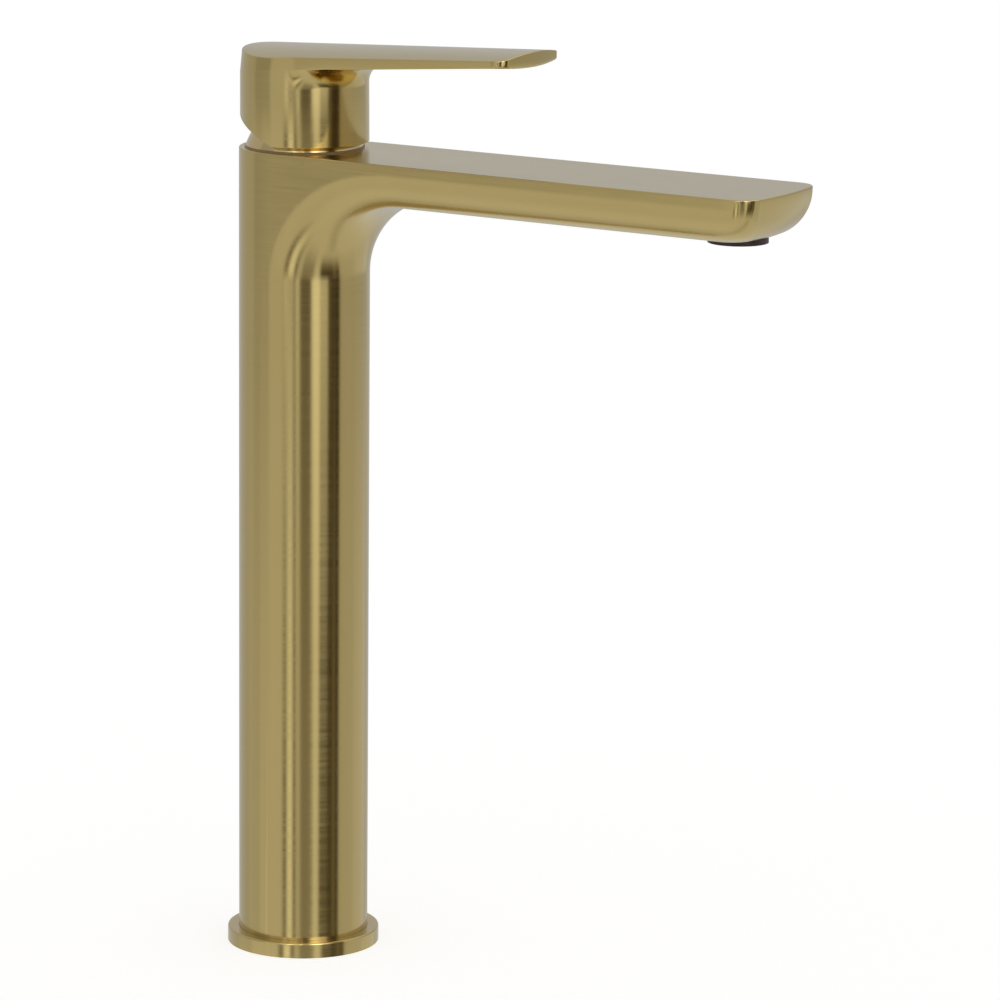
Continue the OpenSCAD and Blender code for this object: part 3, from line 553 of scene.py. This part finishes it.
class Tree:
    """Short ways to add and link nodes in a node tree."""

    def __init__(self, tree):
        self.tree = tree
        self.tree.nodes.clear()

    def put(self, node, key, value):
        """Links a socket to an input of a node, or writes a value into it."""
        if isinstance(value, bpy.types.NodeSocket):
            self.tree.links.new(value, node.inputs[key])
        else:
            node.inputs[key].default_value = value

    def add(self, kind, ins=None, **settings):
        """A new node with these settings and inputs."""
        node = self.tree.nodes.new(kind)
        for key, value in settings.items():
            setattr(node, key, value)
        for key, value in (ins or {}).items():
            self.put(node, key, value)
        return node

    def out(self, kind, ins=None, **settings):
        """The first output of a new node."""
        return self.add(kind, ins, **settings).outputs[0]

    def math(self, op, a, b=None, clamp=False):
        node = self.add("ShaderNodeMath", {0: a}, operation=op, use_clamp=clamp)
        if b is not None:
            self.put(node, 1, b)
        return node.outputs[0]

    def plus(self, a, b):
        return self.math("ADD", a, b)

    def times(self, a, b):
        return self.math("MULTIPLY", a, b)

    def rest(self, a):
        """What is left of 1."""
        return self.math("SUBTRACT", 1.0, a)

    def blend(self, share, a, b):
        """a where the share is 0, b where it is 1."""
        return self.plus(self.times(a, self.rest(share)), self.times(b, share))

    def length(self, a, b):
        return self.math("SQRT", self.plus(self.times(a, a), self.times(b, b)))

    def axes(self, vector):
        return self.add("ShaderNodeSeparateXYZ", {0: vector}).outputs

    def ramp(self, fac, stops):
        """A colour ramp through (position, colour or grey value) pairs."""
        node = self.add("ShaderNodeValToRGB", {0: fac})
        els = node.color_ramp.elements
        while len(els) < len(stops):
            els.new(0.5)
        for e, (pos, col) in zip(els, stops):
            e.position = pos
            e.color = (*col, 1) if hasattr(col, "__len__") else (col, col, col, 1)
        return node.outputs[0]

    def map_range(self, v, a, b, c, d, smooth=False):
        kind = "SMOOTHSTEP" if smooth else "LINEAR"
        return self.out("ShaderNodeMapRange", dict(enumerate((v, a, b, c, d))), interpolation_type=kind)

    def mix_colour(self, fac, a, b, mode="MIX"):
        a, b = ((*v, 1) if isinstance(v, tuple) else v for v in (a, b))
        node = self.add("ShaderNodeMix", data_type="RGBA", blend_type=mode)
        for key, value in ((0, fac), (6, a), (7, b)):
            self.put(node, key, value)
        return node.outputs[2]

    def noise(self, vector, scale, detail, roughness, dimensions="3D"):
        return self.out("ShaderNodeTexNoise", {"Vector": vector, "Scale": scale, "Detail": detail,
                                               "Roughness": roughness}, noise_dimensions=dimensions)

    def turned(self, vector, kind, start, end):
        """A vector in another space."""
        return self.out("ShaderNodeVectorTransform", {0: vector}, vector_type=kind,
                        convert_from=start, convert_to=end)


def new_material(name):
    """A new material and its empty node tree."""
    mat = bpy.data.materials.new(name)
    mat.use_nodes = True
    return mat, Tree(mat.node_tree)


def finish_material(tree, ins):
    """A principled surface with these inputs as the material's output."""
    tree.add("ShaderNodeOutputMaterial", {0: tree.out("ShaderNodeBsdfPrincipled", ins)})


def brushed(name, colour, dark, rough, aniso, coat, grain, depth=1.0, spread=0.05):
    """Brushed or turned metal. The grain runs "round" the column's axis, or "long" along X."""
    mat, t = new_material(name)
    co = t.add("ShaderNodeTexCoord").outputs["Object"]
    x, y, z = t.axes(co)
    geo = t.add("ShaderNodeNewGeometry")
    normal = t.axes(t.turned(geo.outputs["Normal"], "NORMAL", "WORLD", "OBJECT"))
    up = t.map_range(t.math("ABSOLUTE", normal[2]), *TOP_FACE, 0.0, 1.0, True)
    if grain == "round":
        along = t.times(t.math("ARCTAN2", y, x), COLUMN_R * MM)
        across = t.blend(up, z, t.length(x, y))
    else:
        along = x
        across = t.blend(up, z, y)
    strokes = []
    for per_length, per_width, *noise in (FINE_STROKES, WIDE_STROKES):
        place = {0: t.times(along, per_length), 1: t.times(across, per_width)}
        strokes.append(t.noise(t.out("ShaderNodeCombineXYZ", place), 1.0, *noise, "2D"))
    streak = t.plus(t.times(strokes[0], FINE_SHARE), t.times(strokes[1], 1 - FINE_SHARE))
    cloud = t.math("SUBTRACT", t.noise(co, *CLOUD_NOISE), 0.5)
    tone = t.plus(t.map_range(streak, *STROKE_NOISE, *STROKE_TONE), t.times(cloud, CLOUD_TONE))
    base = t.mix_colour(t.math("ADD", tone, 0.0, clamp=True), dark, colour)
    # Sharp convex edges get a painted highlight: the base colour is made brighter there.
    edge_highlight = t.map_range(geo.outputs["Pointiness"], *EDGE_HIGHLIGHT_METAL, 0.0, 1.0, True)
    highlight_colour = tuple(min(1, c * EDGE_HIGHLIGHT_METAL_GAIN) for c in colour)
    base = t.mix_colour(t.times(edge_highlight, EDGE_HIGHLIGHT_METAL_SHARE), base, highlight_colour)
    roughness = t.plus(t.map_range(streak, *STROKE_NOISE, rough - spread, rough + spread),
                       t.times(cloud, CLOUD_ROUGH))
    bump = t.out("ShaderNodeBump", {"Strength": STROKE_BUMP * depth, "Distance": STROKE_DEPTH,
                                    "Height": streak})
    tangent = t.out("ShaderNodeCombineXYZ", {1: up, 2: t.rest(up)})
    finish_material(t, {
        "Base Color": base, "Metallic": 1.0, "Roughness": roughness, "IOR": IOR, "Normal": bump,
        "Anisotropic": aniso, "Tangent": t.turned(tangent, "VECTOR", "OBJECT", "WORLD"),
        "Coat Weight": coat, "Coat Roughness": COAT_ROUGH, "Coat IOR": IOR})
    return mat


def moulded(name, colour, dark, rough, grain, depth):
    """Moulded plastic, ceramic or rubber with a fine grain and slight unevenness of tone."""
    mat, t = new_material(name)
    co = t.add("ShaderNodeTexCoord").outputs["Object"]
    fine, cloud = t.noise(co, grain, *GRAIN_NOISE), t.noise(co, grain / COARSER, *COARSE_NOISE)
    pointiness = t.add("ShaderNodeNewGeometry").outputs["Pointiness"]
    # Sharp convex edges get a painted highlight: a brighter, paler base colour there.
    edge_highlight = t.map_range(pointiness, *EDGE_HIGHLIGHT_PLASTIC, 0.0, EDGE_HIGHLIGHT_PLASTIC_SHARE, True)
    tone = t.plus(t.times(fine, 0.5), t.times(cloud, 0.5))
    base = t.mix_colour(t.map_range(tone, *GRAIN_TONE, 0.0, 1.0), dark, colour)
    highlight_colour = tuple(min(1, c * EDGE_HIGHLIGHT_PLASTIC_GAIN + EDGE_HIGHLIGHT_PLASTIC_PALER) for c in colour)
    base = t.mix_colour(edge_highlight, base, highlight_colour)
    roughness = t.map_range(fine, *GRAIN_RANGE, *(rough + v for v in GRAIN_ROUGH))
    bump = t.out("ShaderNodeBump", {"Strength": GRAIN_BUMP, "Distance": depth, "Height": fine})
    finish_material(t, {"Base Color": base, "Roughness": roughness, "IOR": IOR, "Normal": bump})
    return mat


BRASS, BRASS_DARK = (0.61, 0.468, 0.183), (0.54, 0.407, 0.148)
satin_round = brushed("satin_brass_round", BRASS, BRASS_DARK, 0.16, 0.6, 0.7, "round")
satin_long = brushed("satin_brass_long", BRASS, BRASS_DARK, 0.16, 0.6, 0.7, "long")
polished = brushed("polished_brass", (0.68, 0.53, 0.26), (0.64, 0.49, 0.225), 0.12, 0.2, 0.5, "round",
                   depth=0.3, spread=0.02)
raw = brushed("raw_brass", (0.56, 0.36, 0.10), (0.46, 0.28, 0.075), 0.32, 0.4, 0.0, "round", depth=1.5)
steel = brushed("turned_steel", (0.50, 0.50, 0.50), (0.40, 0.40, 0.405), 0.28, 0.4, 0.0, "round")
dark_plastic = moulded("dark_plastic", (0.038, 0.019, 0.016), (0.027, 0.013, 0.011), 0.42, 2400.0,
                       0.00003)
pale_plastic = moulded("pale_plastic", (0.74, 0.72, 0.66), (0.66, 0.64, 0.57), 0.40, 2000.0, 0.00002)
# The slip ring's brown is painted shade: it stands in for the shaded gap line between the dome and the
# body's top.
ring_plastic_gap_shade = moulded("ring_plastic_gap_shade", (0.36, 0.26, 0.12), (0.28, 0.20, 0.09), 0.35, 2400.0, 0.00002)
ceramic = moulded("ceramic", (0.82, 0.80, 0.74), (0.76, 0.74, 0.68), 0.14, 3000.0, 0.000005)
rubber = moulded("rubber", (0.012, 0.012, 0.012), (0.007, 0.007, 0.007), 0.62, 1800.0, 0.00004)

SLOT_MATERIAL = {
    "satin_brass": satin_round, "polished_brass": polished, "raw_brass": raw, "steel": steel,
    "dark_plastic": dark_plastic, "pale_plastic": pale_plastic, "ceramic": ceramic, "rubber": rubber}


def dressed(o, material):
    """The object with this material alone."""
    o.data.materials.clear()
    o.data.materials.append(material)
    return o


for part in frame["record"]["subparts"]:
    dressed(nodes[part["node"]], SLOT_MATERIAL[part["material_slot"]])
# The slip ring gets the brown of painted shade, standing in for the shaded gap at the body's top.
dressed(nodes["slip_ring"], ring_plastic_gap_shade)

body = dressed(body_piece(), satin_long)
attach(body, "root")
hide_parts("faucet_body")

handle = dressed(handle_piece(), satin_long)
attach(handle, "lever")
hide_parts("handle")

dome = dressed(dome_piece(), polished)
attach(dome, "root")
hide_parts("dome_cap")


# ---------------------------------------------------------------- floor
FLOOR_HALF = 6.0
FLOOR_GREY = 0.8
FLOOR_GLOW = 0.645


def floor_piece():
    """A pale floor that keeps its shadow, but is clear from below and in reflections."""
    corners = [(-FLOOR_HALF, -FLOOR_HALF, 0), (FLOOR_HALF, -FLOOR_HALF, 0),
               (FLOOR_HALF, FLOOR_HALF, 0), (-FLOOR_HALF, FLOOR_HALF, 0)]
    o = new_mesh("floor", corners, [(0, 1, 2, 3)])
    mat, t = new_material("pale_floor")
    path = t.add("ShaderNodeLightPath").outputs
    below = t.add("ShaderNodeNewGeometry").outputs["Backfacing"]
    diffuse = t.out("ShaderNodeBsdfDiffuse", {"Color": (FLOOR_GREY, FLOOR_GREY, FLOOR_GREY, 1)})
    glow = t.out("ShaderNodeEmission", {"Color": (1, 1, 1, 1), "Strength": FLOOR_GLOW})
    clear = t.out("ShaderNodeBsdfTransparent")
    seen = t.out("ShaderNodeAddShader", {0: diffuse, 1: glow})
    shown = t.out("ShaderNodeMixShader", {0: path["Is Camera Ray"], 1: diffuse, 2: seen})
    shown = t.out("ShaderNodeMixShader", {0: path["Is Glossy Ray"], 1: shown, 2: clear})
    shown = t.out("ShaderNodeMixShader", {0: below, 1: shown, 2: clear})
    t.add("ShaderNodeOutputMaterial", {0: shown})
    o.data.materials.append(mat)


floor_piece()

# ---------------------------------------------------------------- studio light
# The world is a ring of panels that hang side by side round the faucet. Each list goes from left
# to right: where a panel begins, in degrees to the right of the camera's line of sight, and its
# brightness. The column shows the panels' lower part:
COLUMN_PANELS = [
    (-180, 0.75), (-115, 0.85), (-85, 1.0), (-38, 0.3), (-30, 1.6), (-20, 0.3), (-14, 0.95),
    (-6, 0.5), (16, 1.1), (27, 0.1), (52, 0.3), (58, 0.1), (65, 0.85), (100, 0.95), (140, 0.75)]

# The knob shows the part just above it:
KNOB_PANELS = [
    (-180, 0.75), (-100, 0.6), (-65, 0.9), (-36, 1.5), (-30, 0.6), (-16, 1.3), (-9, 0.15),
    (12, 1.9), (27, 1.5), (42, 0.2), (50, 0.05), (65, 0.7), (95, 0.65), (140, 0.75)]
PANEL_SEAM = 5.0  # degrees over which one panel goes over into the next

# The other lights are lists of an azimuth and the brightness there, with even passages between.
# The lamps' upper ends, which only surfaces that lean back show:
LAMPS = [(-35, 0.0), (-27, 0.6), (-22, 2.6), (-16, 0.6), (-9, 0.1), (-4, 2.2), (0, 0.2), (12, 0.3),
         (17, 2.4), (27, 2.6), (33, 0.3), (50, 0.1), (75, 0.25), (120, 0.25), (150, 0.0)]

# Brightness of the room above the panels
CEILING = [(-180, 0.84), (-108, 0.84), (0, 1.26), (36, 1.4), (126, 1.4), (180, 0.84)]

# Brightness of the floor far below the panels, and its gain from the horizon down
GROUND = [(-180, 0.95), (-100, 0.95), (0, 0.9), (100, 0.9), (180, 0.95)]
GROUND_GAIN = (0.95, 1.12)

# Tint of the light by its brightness: dark surroundings are warm
WARMTH = [(0.0, (1.0, 0.80, 0.45)), (0.25, (1.0, 0.87, 0.62)), (0.6, (0.98, 0.98, 0.95)),
          (1.0, (0.98, 1.0, 0.99))]

# Rises above the horizon, in degrees, between which one light goes over into the next
COLUMN_TO_KNOB = (-12.0, -9.5)
PANELS_TO_GROUND = (-16.0, -46.0)
GROUND_GROWS = (-24.0, -44.0)
LAMPS_START, LAMPS_END = (10.0, 24.0), (55.0, 75.0)
TO_CEILING = (22.0, 44.0)

# A slightly darker strip far below, along the spout, by the direction's Y and its rise
STRIP_Y = -0.08
STRIP_HALF = (0.22, 0.04)
STRIP_RISE = (-40.0, -50.0)
STRIP_DARK = 0.2

# Colour ramps hold the tables as shares of this brightness
BRIGHTEST = 4.0
# Strengths of the world in reflections, as plain light on matt surfaces, and as the backdrop
MIRRORED, PLAIN, BACKDROP = 0.69, 0.45, 1.0

# The camera's turn about the column from -Y towards +X, in degrees, and the rest of its pose
CAM_TURN = 33.6303
CAM_DISTANCE, CAM_HEIGHT = 1.9300152, 0.5602127
CAM_PITCH, CAM_YAW, CAM_ROLL = 11.6833, 2.0595, 0.5269
FOCAL_SHARE = 5.56369  # focal length by the picture's width
SENSOR = 36.0
CAM_REACH = 50.0


def seamed(panels):
    """The brightness round the ring: even on each panel, with a short passage at each seam."""
    light = [panels[0]]
    for (_, before), (start, after) in zip(panels, panels[1:]):
        light += [(start - PANEL_SEAM / 2, before), (start + PANEL_SEAM / 2, after)]
    return [*light, (180, panels[-1][1])]


def studio():
    """The world: panels in reflections, plain light on matt surfaces, white behind the faucet."""
    world = bpy.data.worlds.new("studio")
    bpy.context.scene.world = world
    world.use_nodes = True
    t = Tree(world.node_tree)
    x, y, z = t.axes(t.add("ShaderNodeTexCoord").outputs["Generated"])
    turn = math.radians(CAM_TURN - 90)
    ahead = t.plus(t.times(x, math.cos(turn)), t.times(y, math.sin(turn)))
    right = t.plus(t.times(x, -math.sin(turn)), t.times(y, math.cos(turn)))
    share = t.plus(t.times(t.math("ARCTAN2", right, ahead), 1 / (2 * math.pi)), 0.5)
    rise = t.times(t.math("ARCTAN2", z, t.length(x, y)), 180 / math.pi)

    def around(table):
        return t.ramp(share, [(azimuth / 360 + 0.5, v / BRIGHTEST) for azimuth, v in table])

    def fade(degrees, low=0.0, high=1.0):
        return t.map_range(rise, *degrees, low, high, True)

    knob_share = t.map_range(rise, *COLUMN_TO_KNOB, 0.0, 1.0)
    column, knob = around(seamed(COLUMN_PANELS)), around(seamed(KNOB_PANELS))
    bands = t.times(t.mix_colour(knob_share, column, knob), BRIGHTEST)
    gain = t.times(t.map_range(rise, *GROUND_GROWS, *GROUND_GAIN), BRIGHTEST)
    sky = t.blend(fade(PANELS_TO_GROUND), bands, t.times(around(GROUND), gain))
    aside = t.math("ABSOLUTE", t.math("SUBTRACT", y, STRIP_Y))
    strip = t.times(t.map_range(aside, *STRIP_HALF, 0.0, STRIP_DARK, True), fade(STRIP_RISE))
    sky = t.times(sky, t.rest(strip))
    sky = t.blend(fade(TO_CEILING), sky, t.times(around(CEILING), BRIGHTEST))
    lamps = t.times(around(LAMPS), fade(LAMPS_START, 0.0, BRIGHTEST))
    sky = t.plus(sky, t.times(lamps, fade(LAMPS_END, 1.0, 0.0)))
    sky = t.mix_colour(1.0, t.ramp(sky, WARMTH), sky, "MULTIPLY")
    path = t.add("ShaderNodeLightPath").outputs
    white = (1, 1, 1, 1)
    glossy, soft, behind = (
        t.out("ShaderNodeBackground", {"Color": colour, "Strength": strength})
        for colour, strength in ((sky, MIRRORED), (white, PLAIN), (white, BACKDROP)))
    light = t.out("ShaderNodeMixShader", {0: path["Is Glossy Ray"], 1: soft, 2: glossy})
    light = t.out("ShaderNodeMixShader", {0: path["Is Camera Ray"], 1: light, 2: behind})
    t.add("ShaderNodeOutputWorld", {0: light})


def camera():
    """The camera: turned about the column, then yawed, pitched and rolled."""
    turn, pitch, yaw, roll = (math.radians(v) for v in (CAM_TURN, CAM_PITCH, CAM_YAW, CAM_ROLL))
    z = Vector((0, 0, 1))
    inwards = Vector((-math.sin(turn), math.cos(turn), 0))
    across = Vector((math.cos(turn), math.sin(turn), 0))
    ahead = inwards * math.cos(yaw) + across * math.sin(yaw)
    right = across * math.cos(yaw) - inwards * math.sin(yaw)
    look = ahead * math.cos(pitch) - z * math.sin(pitch)
    up = z * math.cos(pitch) + ahead * math.sin(pitch)
    side = right * math.cos(roll) + up * math.sin(roll)
    top = up * math.cos(roll) - right * math.sin(roll)
    place = (CAM_DISTANCE * math.sin(turn), -CAM_DISTANCE * math.cos(turn), CAM_HEIGHT)
    data = bpy.data.cameras.new("camera")
    data.sensor_width = SENSOR
    data.sensor_fit = "HORIZONTAL"
    data.lens = FOCAL_SHARE * SENSOR
    data.clip_end = CAM_REACH
    o = bpy.data.objects.new("camera", data)
    rows = [(side[i], top[i], -look[i], place[i]) for i in range(3)]
    o.matrix_world = Matrix((*rows, (0, 0, 0, 1)))
    bpy.context.scene.collection.objects.link(o)
    bpy.context.scene.camera = o


studio()
camera()
bpy.context.scene.view_settings.view_transform = "Standard"
